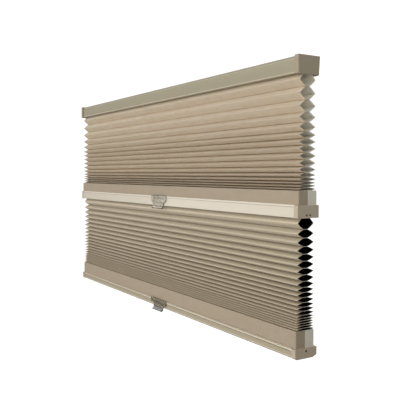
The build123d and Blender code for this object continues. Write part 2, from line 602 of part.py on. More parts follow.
def bottom_rail():
    """The bottom rail, with its lower edges cut and a steel ballast bar inside."""
    end = BOTTOM_WIDTH / 2 - RAIL_CAP_LENGTH
    shape = (BOTTOM_DEPTH, BOTTOM_TOP, BOTTOM_BOTTOM, BOTTOM_FRONT_CHAMFER, BOTTOM_BACK_CHAMFER)
    half = BOTTOM_DEPTH / 2 - RAIL_STEP - RAIL_WALL
    floor = BOTTOM_BOTTOM + RAIL_WALL
    cavity = [
        (-half, BOTTOM_TOP - RAIL_WALL),
        (half, BOTTOM_TOP - RAIL_WALL),
        (half, floor + BOTTOM_BACK_CHAMFER[1]),
        (half - BOTTOM_BACK_CHAMFER[0], floor),
        (-half + BOTTOM_FRONT_CHAMFER[0], floor),
        (-half, floor + BOTTOM_FRONT_CHAMFER[1]),
    ]
    save("bottom_rail", rail_extrusion(*shape, end) - along(cavity, -end, end))
    cap = rail_cap(*shape, BOTTOM_WIDTH, cavity)
    hole = Pos(BOTTOM_WIDTH / 2, 0, BOTTOM_TOP - BOTTOM_CAP_HOLE_FALL)
    cap -= hole * Rot(0, 90, 0) * Cylinder(CAP_HOLE / 2, 2 * RAIL_CAP_LENGTH - 2 * RAIL_CAP_END)
    save("bottom_cap_right", cap)
    save("bottom_cap_left", mirror(cap, about=Plane.YZ))
    reach = BOTTOM_WIDTH / 2 - BALLAST_INSET
    bar = block(-reach, reach, -BALLAST_DEPTH / 2, BALLAST_DEPTH / 2, floor, floor + BALLAST_HEIGHT)
    save("bottom_ballast_bar", bar)
    spring_box("bottom", BOTTOM_BAND_TOP, BOTTOM_BAND, BOTTOM_WIDTH, BOTTOM_BAND_INSET)
    handle("bottom", BOTTOM_DEPTH, BOTTOM_TOP, BOTTOM_BOTTOM)


def fabrics():
    """The two cellular fabrics."""
    upper = HEAD_WIDTH / 2 - UPPER_FABRIC_INSET
    lower = HEAD_WIDTH / 2 - LOWER_FABRIC_INSET
    save("upper_fabric", honeycomb(CHANNEL_BOTTOM, UPPER_DROP, UPPER_CELLS, upper))
    save("lower_fabric", honeycomb(MIDDLE_BOTTOM, LOWER_DROP, LOWER_CELLS, lower))


headrail()
middle_rail()
bottom_rail()
fabrics()
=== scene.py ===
import json
from math import radians

import bmesh
import bpy
import numpy as np
from mathutils import Matrix, Vector


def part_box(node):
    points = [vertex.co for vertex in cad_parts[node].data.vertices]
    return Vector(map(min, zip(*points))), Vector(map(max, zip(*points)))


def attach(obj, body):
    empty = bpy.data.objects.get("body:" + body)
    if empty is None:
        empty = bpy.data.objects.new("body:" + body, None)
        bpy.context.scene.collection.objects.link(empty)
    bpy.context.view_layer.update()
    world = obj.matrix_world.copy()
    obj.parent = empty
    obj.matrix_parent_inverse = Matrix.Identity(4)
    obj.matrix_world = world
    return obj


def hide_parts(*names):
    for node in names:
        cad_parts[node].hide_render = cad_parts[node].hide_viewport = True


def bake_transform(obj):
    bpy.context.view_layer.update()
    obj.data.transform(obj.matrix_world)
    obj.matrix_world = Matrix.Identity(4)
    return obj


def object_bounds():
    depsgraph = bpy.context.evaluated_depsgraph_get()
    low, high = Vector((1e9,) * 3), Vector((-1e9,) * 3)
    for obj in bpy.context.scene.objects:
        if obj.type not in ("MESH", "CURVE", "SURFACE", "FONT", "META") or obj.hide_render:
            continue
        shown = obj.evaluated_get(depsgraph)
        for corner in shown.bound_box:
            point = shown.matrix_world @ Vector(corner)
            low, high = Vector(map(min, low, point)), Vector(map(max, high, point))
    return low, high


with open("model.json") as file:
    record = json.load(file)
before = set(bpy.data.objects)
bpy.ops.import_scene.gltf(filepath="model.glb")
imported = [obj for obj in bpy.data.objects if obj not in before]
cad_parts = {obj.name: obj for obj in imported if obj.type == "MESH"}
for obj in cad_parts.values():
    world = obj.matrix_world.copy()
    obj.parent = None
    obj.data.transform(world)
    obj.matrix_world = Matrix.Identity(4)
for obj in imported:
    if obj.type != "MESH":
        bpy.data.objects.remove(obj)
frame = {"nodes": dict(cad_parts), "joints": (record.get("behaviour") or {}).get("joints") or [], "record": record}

cad_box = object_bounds()

# ---- sizes that the boxes of the CAD nodes don't give, in metres --------------------------------------
CLOTH = 0.00035
WRAP = 0.0006  # cloth on the spring boxes
FOLD_REACH = 0.0226  # from the middle to a fold of a flat cell
GLUE_WIDTH = 0.0095  # flat that joins a cell to the next
STRIP_NECK = 0.019  # first and last flat of each fabric
SLOT_LIP = 0.0012  # wall under the head of a fabric strip's slot
SLOT_DEPTH = 0.00265
SLOT_HEAD = 0.004  # how far the middle rail's slot widens past its neck
FIT = 0.00015
CORD_RADIUS = 0.0007
CORD_HOLE = 0.0042  # radius
UPPER_CELLS = (25, 26, 24, 20, 18, 14, 13, 14, 14, 14, 12, 9, 8, 6, 6, 6)
LOWER_CELLS = (23, 17, 17, 15, 14, 14, 13, 13, 12, 10, 10, 10, 9, 8, 8, 6, 5, 5, 5, 5, 5)
# Half cells made into one piece together, from the top down. The end ones are small so that none of them
# folds over.
UPPER_GROUPS = (1, 1, 1, 1, 2, 2, 4, 4, 4, 4, 2, 4, 1, 1)
LOWER_GROUPS = (1, 1, 1, 1, 2, 6, 6, 8, 6, 6, 2, 1, 1)


def node_size(name):
    """Lowest and highest corner of a CAD node as two arrays."""
    low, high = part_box(name)
    return np.array(low), np.array(high)


# ---- Materials ---------------------------------------------------------------------------------------
def shader_group(name, inputs):
    """An empty node group for a finish, with named inputs; gives the tree and its two ends."""
    tree = bpy.data.node_groups.new(name, "ShaderNodeTree")
    for label, kind, value in inputs:
        socket = tree.interface.new_socket(label, in_out="INPUT", socket_type="NodeSocket" + kind)
        socket.default_value = value
    for label, kind in (("Colour", "Color"), ("Roughness", "Float"), ("Normal", "Vector")):
        tree.interface.new_socket(label, in_out="OUTPUT", socket_type="NodeSocket" + kind)
    return tree, tree.nodes.new("NodeGroupInput"), tree.nodes.new("NodeGroupOutput")


def put(tree, kind, inputs=None, **settings):
    """A node of that kind, with its settings, and with each input either set or linked."""
    node = tree.nodes.new("ShaderNode" + kind)
    for key, value in settings.items():
        setattr(node, key, value)
    for key, value in (inputs or {}).items():
        if isinstance(value, bpy.types.NodeSocket):
            tree.links.new(value, node.inputs[key])
        else:
            node.inputs[key].default_value = value
    return node


def math(tree, operation, *values):
    """The output of a Math node."""
    return put(tree, "Math", dict(enumerate(values)), operation=operation).outputs[0]


def remap(tree, value, low, high, new_low=0.0, new_high=1.0):
    """A value stretched from one range to another and held inside it."""
    inputs = {"Value": value, "From Min": low, "From Max": high, "To Min": new_low, "To Max": new_high}
    return put(tree, "MapRange", inputs).outputs["Result"]


def tint(tree, colour, factor, other):
    """A colour mixed towards another by a factor."""
    node = put(tree, "Mix", data_type="RGBA")
    for socket, value in zip((node.inputs[0], node.inputs[6], node.inputs[7]), (factor, colour, other)):
        if isinstance(value, bpy.types.NodeSocket):
            tree.links.new(value, socket)
        else:
            socket.default_value = value
    return node.outputs[2]


def shade(tree, colour, factor):
    """A colour made lighter or darker by a factor around one."""
    return put(tree, "VectorMath", {0: colour, 1: factor}, operation="MULTIPLY").outputs[0]


def noise(tree, vector, scale, detail=3.0, roughness=0.55, distortion=0.0):
    """The value of a noise texture."""
    inputs = {"Vector": vector, "Scale": scale, "Detail": detail, "Roughness": roughness,
              "Distortion": distortion}
    return put(tree, "TexNoise", inputs).outputs[0]


def stretched(tree, vector, x, y, z):
    """Coordinates scaled by three factors, which draws a pattern out along an axis."""
    return put(tree, "Mapping", {"Vector": vector, "Scale": (x, y, z)}).outputs[0]


def joined(tree, ends, colour, rough, height, strength, distance):
    """Joins a colour, a roughness and a bump from a height to the three named sockets of some ends."""
    bump = put(tree, "Bump", {"Height": height, "Strength": strength, "Distance": distance})
    for label, socket in zip(ends, (colour, rough, bump.outputs[0])):
        tree.links.new(socket, ends[label])
    return tree


def finish_ends(out):
    """The three outputs of a finish group."""
    return {label: out.inputs[label] for label in ("Colour", "Roughness", "Normal")}


def coat_finish():
    """Powder coat or moulded skin: fine orange peel, slow mottling, and dust where a face looks up."""
    tree, given, out = shader_group(
        "coat_finish",
        [("Colour", "Color", (0.5, 0.5, 0.5, 1)), ("Roughness", "Float", 0.4), ("Peel", "Float", 0.1),
         ("Mottle", "Float", 0.05), ("Dust", "Float", 0.1)],
    )
    at = put(tree, "TexCoord").outputs["Object"]
    peel = noise(tree, at, 900.0, 2.0)
    cloud = noise(tree, stretched(tree, at, 0.4, 1.0, 1.0), 26.0, 4.0)
    up = put(tree, "SeparateXYZ", {0: put(tree, "NewGeometry").outputs["Normal"]}).outputs["Z"]
    patches = remap(tree, noise(tree, at, 60.0, 5.0), 0.35, 0.7)
    settled = math(tree, "MULTIPLY", remap(tree, up, 0.5, 1.0), patches)
    settled = math(tree, "MULTIPLY", settled, given.outputs["Dust"])
    swing = math(tree, "MULTIPLY", math(tree, "SUBTRACT", cloud, 0.5), given.outputs["Mottle"])
    colour = shade(tree, given.outputs["Colour"], math(tree, "ADD", 1.0, swing))
    colour = tint(tree, colour, settled, (0.52, 0.50, 0.46, 1))
    rough = math(tree, "ADD", given.outputs["Roughness"], math(tree, "MULTIPLY", swing, 0.6))
    rough = math(tree, "ADD", rough, math(tree, "MULTIPLY", settled, 0.4))
    return joined(tree, finish_ends(out), colour, rough, peel, given.outputs["Peel"], 0.0001)


def spunbond_finish():
    """Pressed polyester web: crossing fibres drawn out along and across, cloudy where the web is thin, and a
    painted highlight along its folds.
    """
    tree, given, out = shader_group(
        "spunbond_finish",
        [("Colour", "Color", (0.5, 0.5, 0.5, 1)), ("Fibre", "Float", 0.12), ("Cloud", "Float", 0.08),
         ("Relief", "Float", 0.3), ("Crease", "Float", 0.0)],
    )
    at = put(tree, "UVMap", uv_map="cloth").outputs[0]
    along = noise(tree, stretched(tree, at, 1.0, 7.0, 1.0), 260.0, 4.0, 0.6, 0.6)
    across = noise(tree, stretched(tree, at, 6.0, 1.2, 1.0), 300.0, 4.0, 0.6, 0.6)
    fibres = math(tree, "SUBTRACT", math(tree, "MAXIMUM", along, across), 0.58)
    cloud = math(tree, "SUBTRACT", noise(tree, stretched(tree, at, 1.0, 2.0, 1.0), 34.0, 5.0, 0.6), 0.5)
    light = math(tree, "MULTIPLY", fibres, given.outputs["Fibre"])
    light = math(tree, "ADD", light, math(tree, "MULTIPLY", cloud, given.outputs["Cloud"]))
    # Painted highlight: lighter towards each fold's ridge, by the fold attribute.
    fold = put(tree, "Attribute", attribute_name="fold").outputs["Fac"]
    painted_highlight_mask = math(tree, "MULTIPLY", math(tree, "POWER", fold, 5.0), given.outputs["Crease"])
    light = math(tree, "ADD", math(tree, "ADD", 1.0, math(tree, "MULTIPLY", light, 2.0)), painted_highlight_mask)
    rough = math(tree, "SUBTRACT", 0.86, math(tree, "MULTIPLY", fibres, 0.3))
    return joined(tree, finish_ends(out), shade(tree, given.outputs["Colour"], light), rough, fibres,
                  given.outputs["Relief"], 0.0002)


def drawn_metal_finish():
    """Rolled or drawn metal: long fine lines along one axis, with spots where the surface has dulled."""
    tree, given, out = shader_group(
        "drawn_metal_finish",
        [("Colour", "Color", (0.5, 0.5, 0.5, 1)), ("Roughness", "Float", 0.3), ("Lines", "Float", 0.3),
         ("Dulling", "Float", 0.3)],
    )
    at = put(tree, "TexCoord").outputs["Object"]
    lines = noise(tree, stretched(tree, at, 0.02, 1.0, 1.0), 1500.0, 3.0)
    spots = remap(tree, noise(tree, at, 140.0, 6.0), 0.5, 0.75)
    dull = math(tree, "MULTIPLY", spots, given.outputs["Dulling"])
    rough = math(tree, "ADD", given.outputs["Roughness"], math(tree, "MULTIPLY", dull, 0.35))
    left = math(tree, "SUBTRACT", 1.0, math(tree, "MULTIPLY", dull, 0.45))
    colour = shade(tree, given.outputs["Colour"], left)
    return joined(tree, finish_ends(out), colour, rough, lines, given.outputs["Lines"], 0.00005)


GROUPS = {"coat": coat_finish(), "spunbond": spunbond_finish(), "drawn": drawn_metal_finish()}


def new_material(name):
    """An empty material; gives it, its tree and its shader."""
    made = bpy.data.materials.new(name)
    made.use_nodes = True
    return made, made.node_tree, made.node_tree.nodes["Principled BSDF"]


def shader_ends(body):
    """The three inputs of a shader that a finish sets."""
    return {label: body.inputs[label] for label in ("Base Color", "Roughness", "Normal")}


def finish_of(name, group, values, **shader):
    """A material whose colour, roughness and normal come from one of the groups with its own values."""
    made, tree, body = new_material(name)
    effect = tree.nodes.new("ShaderNodeGroup")
    effect.node_tree = GROUPS[group]
    for key, value in values.items():
        effect.inputs[key].default_value = value
    for socket, target in zip(effect.outputs, shader_ends(body).values()):
        tree.links.new(socket, target)
    for key, value in shader.items():
        body.inputs[key.replace("_", " ")].default_value = value
    made.diffuse_color = values["Colour"]
    return made


def rgb(red, green, blue):
    """A colour given as display values from 0 to 255, as linear light."""
    share = np.array([red, green, blue]) / 255
    return (*np.where(share <= 0.04045, share / 12.92, ((share + 0.055) / 1.055) ** 2.4), 1.0)


def coated(name, colour, roughness, peel=0.12, mottle=0.05, dust=0.1, **shader):
    """Powder coat or moulded plastic."""
    values = {"Colour": colour, "Roughness": roughness, "Peel": peel, "Mottle": mottle, "Dust": dust}
    return finish_of(name, "coat", values, **shader)


def cloth(name, colour, fibre=0.12, cloud=0.1, relief=0.3, fold_highlight=0.0, **shader):
    """Pressed web, with a painted highlight along its folds."""
    values = {"Colour": colour, "Fibre": fibre, "Cloud": cloud, "Relief": relief, "Crease": fold_highlight}
    return finish_of(name, "spunbond", values, **shader)


def drawn(name, colour, roughness, lines=0.3, dulling=0.3):
    """Rolled or drawn metal."""
    values = {"Colour": colour, "Roughness": roughness, "Lines": lines, "Dulling": dulling}
    return finish_of(name, "drawn", values, Metallic=1.0)


STRANDS = 900.0  # crossings of the braid in a metre


def braid_material(name, mapped):
    """Braided cord: two sets of strands that cross, laid by the cord's own map or drawn through space."""
    made, tree, body = new_material(name)
    if mapped:
        at = put(tree, "SeparateXYZ", {0: put(tree, "UVMap", uv_map="cloth").outputs[0]})
        round_it = math(tree, "MULTIPLY", at.outputs["X"], 8.0)
        along_it = math(tree, "MULTIPLY", at.outputs["Y"], STRANDS)
    else:
        at = put(tree, "SeparateXYZ", {0: put(tree, "TexCoord").outputs["Object"]})
        round_it = math(tree, "MULTIPLY", math(tree, "ADD", at.outputs["Y"], at.outputs["Z"]), STRANDS)
        along_it = math(tree, "MULTIPLY", at.outputs["X"], STRANDS)
    left = math(tree, "PINGPONG", math(tree, "ADD", round_it, along_it), 0.5)
    right = math(tree, "PINGPONG", math(tree, "SUBTRACT", round_it, along_it), 0.5)
    strand = math(tree, "MULTIPLY", math(tree, "MAXIMUM", left, right), 2.0)
    # Painted shade: the cord is darker in the grooves between its strands.
    colour = tint(tree, rgb(150, 142, 122), strand, rgb(214, 206, 186))
    joined(tree, shader_ends(body), colour, remap(tree, strand, 0.0, 1.0, 0.85, 0.6), strand, 0.6, 0.0001)
    return made


def clear_material():
    """Clear moulded plastic: faint flow waves in the surface and a slightly frosted haze in places."""
    made, tree, body = new_material("clear_plastic")
    at = put(tree, "TexCoord").outputs["Object"]
    haze = noise(tree, at, 70.0, 4.0)
    waves = noise(tree, stretched(tree, at, 1.0, 2.0, 2.0), 45.0, 2.0)
    body.inputs["Transmission Weight"].default_value = 1.0
    body.inputs["IOR"].default_value = 1.49
    colour = tint(tree, rgb(246, 244, 237), haze, rgb(236, 233, 223))
    joined(tree, shader_ends(body), colour, remap(tree, haze, 0.3, 0.8, 0.02, 0.09), waves, 0.25, 0.0006)
    return made


MATERIALS = {
    "headrail_channel": coated("headrail_coat", rgb(157, 148, 122), 0.42, Coat_Weight=0.15,
                               Coat_Roughness=0.3),
    # The middle rail's pale colour is partly its own and partly a painted highlight along its glossy front.
    "middle_rail": coated("middle_rail_gloss", rgb(212, 200, 180), 0.3, 0.06, Coat_Weight=0.5,
                          Coat_Roughness=0.16),
    "bottom_rail": coated("bottom_rail_gloss", rgb(175, 163, 139), 0.32, 0.06, Coat_Weight=0.4,
                          Coat_Roughness=0.2),
    "headrail_caps": coated("headrail_cap_plastic", rgb(160, 148, 124), 0.5, 0.3),
    "rail_caps": coated("rail_cap_plastic", rgb(188, 173, 149), 0.42, 0.3),
    # Near-black cups in the end caps' pin holes: painted shade for open holes.
    "pin_socket": coated("painted_hole_shade", rgb(22, 20, 17), 0.7, 0.2, 0.1, 0.0),
    "clear_handle": clear_material(),
    "lift_cord": braid_material("braided_cord", True),
    "grommet": drawn("grommet_brass", rgb(214, 180, 110), 0.28, 0.15, 0.4),
    "fabric_strip": coated("strip_plastic", rgb(218, 214, 202), 0.45, 0.1),
    "bracket": drawn("bracket_zinc", rgb(206, 206, 208), 0.34, 0.25, 0.5),
    "ballast": drawn("ballast_steel", rgb(120, 120, 124), 0.5, 0.4, 0.8),
    "spring_box": coated("box_plastic", rgb(205, 196, 176), 0.5, 0.15),
    "spring_steel": drawn("spring_steel", rgb(150, 153, 160), 0.25, 0.4, 0.2),
    "screw": drawn("screw_steel", rgb(176, 176, 180), 0.3, 0.1, 0.4),
    "motor_case": coated("case_acetal", rgb(228, 228, 222), 0.4, 0.15, 0.03, 0.05,
                         Subsurface_Weight=0.05),
    "rotor": coated("rotor_acetal", rgb(236, 235, 230), 0.35, 0.1, 0.03, 0.0, Subsurface_Weight=0.05),
    "cord_guide": coated("guide_acetal", rgb(226, 223, 212), 0.38, 0.1, 0.03, 0.0),
}
WOUND_CORD = braid_material("wound_cord", False)
# Cloths are in order: outside at the front and the back, then inside at the front and the back.
THIN = {"Subsurface_Weight": 0.6, "Subsurface_Radius": (1.0, 1.0, 1.0), "Subsurface_Scale": 0.002}
UPPER_CLOTHS = [
    cloth("upper_front_cloth", rgb(202, 185, 161), 0.14, 0.12, 0.3, 0.10, **THIN),
    cloth("upper_back_cloth", rgb(226, 222, 204), 0.10, 0.10, 0.3, 0.05, **THIN),
    # The inside cloths are lighter than the same cloths outside: painted light for the shaded cell interiors.
    cloth("upper_inner_front", rgb(244, 232, 210), 0.14, 0.12, 0.3, **THIN),
    cloth("upper_inner_back", rgb(246, 240, 224), 0.10, 0.12, 0.3, **THIN),
]
LOWER_CLOTHS = [
    cloth("lower_front_cloth", rgb(185, 173, 151), 0.14, 0.12, 0.3, 0.60, Sheen_Weight=0.1),
    cloth("lower_back_cloth", rgb(222, 218, 203), 0.10, 0.10, 0.3, 0.05, Sheen_Weight=0.15),
    *(cloth(f"lower_black_film_{side}", rgb(7, 7, 8), 0.05, 0.05, 0.1, Specular_IOR_Level=0.1)
      for side in ("front", "back")),
]
WRAP_CLOTHS = {
    "front": cloth("wrap_front_cloth", rgb(167, 152, 130), 0.12, 0.10, 0.35),
    "back": cloth("wrap_back_cloth", rgb(218, 214, 198), 0.10, 0.10, 0.35),
}


def painted_light_lines(name, lines):
    """Painted highlights along a rail's edges, and painted shadow lines where a groove lies back.

    Each is a height, a reach up and down from it, a strength and a colour. The finish is mixed towards the
    colour by the strength up to half of the reach, and then by less, down to nothing at the whole of it.
    """
    tree = MATERIALS[name].node_tree
    base = tree.nodes["Principled BSDF"].inputs["Base Color"]
    colour = base.links[0].from_socket
    up = put(tree, "SeparateXYZ", {0: put(tree, "TexCoord").outputs["Object"]}).outputs["Z"]
    for height, reach, strength, other in lines:
        away = math(tree, "ABSOLUTE", math(tree, "SUBTRACT", up, float(height)))
        colour = tint(tree, colour, remap(tree, away, reach / 2, reach, strength, 0.0), other)
    tree.links.new(colour, base)


# Painted highlights along the rails' edges and beads, and painted shadow lines along their grooves and the
# headrail's top edge.
foot, head = (corner[2] for corner in node_size("headrail_channel"))
painted_light_lines("headrail_channel", [(head - 0.0006, 0.0012, 0.5, rgb(112, 104, 78)),
                                 (head - 0.0046, 0.0010, 0.35, rgb(214, 206, 178)),
                                 (foot + 0.0012, 0.0018, 0.45, rgb(226, 218, 194))])
foot, head = (corner[2] for corner in node_size("middle_rail"))
painted_light_lines("middle_rail", [(head - 0.0022, 0.0016, 0.4, rgb(246, 238, 222)),
                            (head - 0.0046, 0.0012, 0.5, rgb(158, 144, 120))])
foot, head = (corner[2] for corner in node_size("bottom_rail"))
painted_light_lines("bottom_rail", [(head - 0.0048, 0.0018, 0.75, rgb(240, 226, 200)),
                            (head - 0.0070, 0.0014, 0.5, rgb(120, 108, 86)),
                            (foot + 0.0040, 0.0014, 0.4, rgb(226, 212, 186))])


# ---- Mesh code ---------------------------------------------------------------------------------------
def placed(name, data):
    """A new object in the scene."""
    made = bpy.data.objects.new(name, data)
    bpy.context.scene.collection.objects.link(made)
    return made


def smoothed(name, mesh, materials, sharp):
    """An object of a mesh with its materials, smooth except over edges sharper than that, in degrees."""
    for material in materials:
        mesh.materials.append(material)
    mesh.polygons.foreach_set("use_smooth", np.ones(len(mesh.polygons), bool))
    mesh.set_sharp_from_angle(angle=radians(sharp))
    return placed(name, mesh)


def mesh_of(name, points, faces):
    """A mesh from arrays of points and faces."""
    mesh = bpy.data.meshes.new(name)
    mesh.from_pydata(np.asarray(points, float).tolist(), [], [list(f) for f in faces])
    return mesh


def piece(name, points, faces, materials, which=None, uv=None, fold=None, sharp=38.0):
    """An object from points and faces, with each face's material and each point's map and fold."""
    mesh = mesh_of(name, points, faces)
    if which is not None:
        mesh.polygons.foreach_set("material_index", np.asarray(which, np.int32))
    if uv is not None:
        corner = np.zeros(len(mesh.loops), np.int32)
        mesh.loops.foreach_get("vertex_index", corner)
        layer = mesh.uv_layers.new(name="cloth")
        layer.data.foreach_set("uv", np.asarray(uv, np.float32)[corner].ravel())
    if fold is not None:
        # The fold attribute is the mask of the cloths' painted fold highlight.
        painted_highlight_mask = mesh.attributes.new("fold", "FLOAT", "POINT")
        painted_highlight_mask.data.foreach_set("value", np.asarray(fold, np.float32))
    return smoothed(name, mesh, materials, sharp)


def quads(rows, columns, closed):
    """Faces between neighbouring rows of a grid whose points are numbered row by row.

    Face (r, c) joins points (r, c), (r, c+1), (r+1, c+1) and (r+1, c); a closed grid's last column meets
    its first.
    """
    r, c = np.meshgrid(np.arange(rows - 1), np.arange(columns if closed else columns - 1), indexing="ij")
    after = (c + 1) % columns
    here, ahead = r * columns, (r + 1) * columns
    return np.stack([here + c, here + after, ahead + after, ahead + c], -1).reshape(-1, 4)


def shell_faces(rows, columns):
    """Faces of a grid, of a second grid behind it that faces the other way, and of the rim between them.

    The second grid's points come after the first's. The rim runs along the first row, up the last column,
    back along the last row and down the first column.
    """
    count = rows * columns
    rim = np.concatenate([np.arange(columns), np.arange(1, rows) * columns + columns - 1,
                          (rows - 1) * columns + np.arange(columns - 2, -1, -1),
                          np.arange(rows - 2, 0, -1) * columns])
    after = np.roll(rim, -1)
    grid = quads(rows, columns, False)
    band = np.stack([rim + count, after + count, after, rim], 1)
    return np.concatenate([grid, grid[:, ::-1] + count, band])


def rounded(corners, radii, steps=4):
    """An outline whose corners are arcs.

    At each corner the arc starts and ends at radius / tan(half the corner's angle) from it, and its points
    lie at equal turns about the centre on the corner's bisector.
    """
    at = np.asarray(corners, float)
    radius = np.broadcast_to(np.asarray(radii, float), len(at))
    back = np.roll(at, 1, 0) - at
    ahead = np.roll(at, -1, 0) - at
    back /= np.linalg.norm(back, axis=1, keepdims=True)
    ahead /= np.linalg.norm(ahead, axis=1, keepdims=True)
    half = np.arccos(np.clip((back * ahead).sum(1), -1, 1)) / 2
    middle = back + ahead
    middle /= np.maximum(np.linalg.norm(middle, axis=1, keepdims=True), 1e-9)
    centre = at + middle * (radius / np.sin(half))[:, None]
    first = at + back * (radius / np.tan(half))[:, None] - centre
    last = at + ahead * (radius / np.tan(half))[:, None] - centre
    start = np.arctan2(first[:, 1], first[:, 0])
    turn = (np.arctan2(last[:, 1], last[:, 0]) - start + np.pi) % (2 * np.pi) - np.pi
    angle = start[:, None] + turn[:, None] * np.linspace(0, 1, steps + 1)[None, :]
    arc = centre[:, None, :] + radius[:, None, None] * np.stack([np.cos(angle), np.sin(angle)], -1)
    keep = np.where(radius > 0, steps + 1, 1)
    return np.concatenate([a[:k] if k > 1 else p[None] for a, k, p in zip(arc, keep, at)])


def carried(name, outlines, stations, materials, sharp=38.0):
    """A section of one or more closed outlines in Y and Z, carried along X through the stations.

    A point is (station, outline Y, outline Z); the first outline is the outside and the others are hollows,
    and both ends are filled between them.
    """
    points, faces, rims, first = [], [], ([], []), 0
    for outline in outlines:
        count = len(outline)
        grid = np.zeros((len(stations), count, 3))
        grid[:, :, 0] = np.asarray(stations)[:, None]
        grid[:, :, 1:] = np.asarray(outline)[None]
        points.append(grid.reshape(-1, 3))
        faces.append(quads(len(stations), count, True) + first)
        for rim, start in zip(rims, (first, first + (len(stations) - 1) * count)):
            loop = start + np.arange(count)
            rim.append(np.stack([loop, np.roll(loop, -1)], 1))
        first += len(points[-1])
    made = mesh_of(name, np.concatenate(points), np.concatenate(faces))
    mesh = bmesh.new()
    mesh.from_mesh(made)
    bpy.data.meshes.remove(made)
    mesh.verts.ensure_lookup_table()
    for rim in rims:
        edges = [mesh.edges.get((mesh.verts[a], mesh.verts[b])) for a, b in np.concatenate(rim).tolist()]
        bmesh.ops.triangle_fill(mesh, use_beauty=True, use_dissolve=True, edges=edges)
    bmesh.ops.recalc_face_normals(mesh, faces=mesh.faces)
    return from_bmesh(name, mesh, materials, sharp)


def from_bmesh(name, mesh, materials, sharp=38.0):
    """An object from a finished bmesh, smooth except over sharp edges."""
    data = bpy.data.meshes.new(name)
    mesh.to_mesh(data)
    mesh.free()
    return smoothed(name, data, materials, sharp)


def bevel(made, width, segments, angle):
    """Eases the edges of a piece that are sharper than an angle in degrees."""
    ease = made.modifiers.new("ease", "BEVEL")
    ease.width = width
    ease.segments = segments
    ease.limit_method = "ANGLE"
    ease.angle_limit = radians(angle)
    return ease


def eased_copy(node, name, width, segments):
    """A copy of a CAD node's shape with its sharp edges eased by a bevel."""
    mesh = bmesh.new()
    mesh.from_mesh(frame["nodes"][node].data)
    bmesh.ops.remove_doubles(mesh, verts=mesh.verts, dist=1e-6)
    bmesh.ops.dissolve_limit(mesh, angle_limit=radians(0.5), verts=mesh.verts, edges=mesh.edges)
    made = from_bmesh(name, mesh, [MATERIALS[SLOT_OF[node]]], 30.0)
    ease = bevel(made, width, segments, 40)
    ease.use_clamp_overlap = True
    ease.harden_normals = True
    return made


SLOT_OF = {s["node"]: s["material_slot"] for s in frame["record"]["subparts"]}
BODY_OF = {n: b for b, ns in frame["record"]["behaviour"]["bodies"].items() for n in ns}


def stand_for(made, *nodes):
    """A rigid piece takes the place and body of CAD nodes, which are hidden."""
    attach(made, BODY_OF[nodes[0]])
    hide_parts(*nodes)
    return made


def bore(made, places, radius, low, high):
    """Cuts upright holes through a piece at each (x, y)."""
    sides = 32
    turn = np.linspace(0, 2 * np.pi, sides, endpoint=False)
    for x, y in places:
        ring = np.stack([x + radius * np.cos(turn), y + radius * np.sin(turn)], 1)
        points = np.concatenate([np.c_[ring, np.full(sides, low)], np.c_[ring, np.full(sides, high)]])
        faces = [*quads(2, sides, True), range(sides - 1, -1, -1), range(sides, 2 * sides)]
        drill = piece("drill", points, faces, [])
        cut = made.modifiers.new("bore", "BOOLEAN")
        cut.object = drill
        cut.operation = "DIFFERENCE"
        cut.solver = "EXACT"
        bpy.context.view_layer.update()
        result = bpy.data.meshes.new_from_object(made.evaluated_get(bpy.context.evaluated_depsgraph_get()))
        made.modifiers.clear()
        made.data = result
        bpy.data.objects.remove(drill)


def cord_x(node):
    """The place of an upright cord along X."""
    low, high = node_size(node)
    return (low[0] + high[0]) / 2


def travelled(line):
    """How far along a line of points each of them is."""
    return np.concatenate([[0], np.cumsum(np.linalg.norm(np.diff(line, axis=0), axis=1))])


def ripple(x, line, seed):
    """Small unevenness along a fold, from four waves whose lengths and phases belong to that line."""
    rng = np.random.default_rng([seed, int(line)])
    waves = rng.uniform(4, 30, 4)
    phases = rng.uniform(0, 2 * np.pi, 4)
    return (np.sin(x[:, None] * waves[None] * 2 + phases) * (0.4, 0.3, 0.2, 0.1)).sum(1)


def half_cell(top, bottom, flat, depth, bow, upper, steps=7):
    """Outer line of half a cell, from its front fold over its glue flat to its back fold.

    Between the fold and the flat the height above the fold's level is the cell's half height times
    1 - (share of the way to the fold) to the power bow, so that the two faces close like a lens.
    """
    share = np.linspace(1, 0, steps)
    half = abs(top - bottom)
    y = flat + (depth - flat) * share
    rise = half * (1 - share**bow)
    level, sign = (bottom, 1) if upper else (top, -1)
    left = np.stack([-y, level + sign * rise], 1)
    right = np.stack([y[::-1], level + sign * rise[::-1]], 1)
    return np.concatenate([left, [[0.0, level + sign * half]], right]), np.concatenate(
        [share, [0.0], share[::-1]])


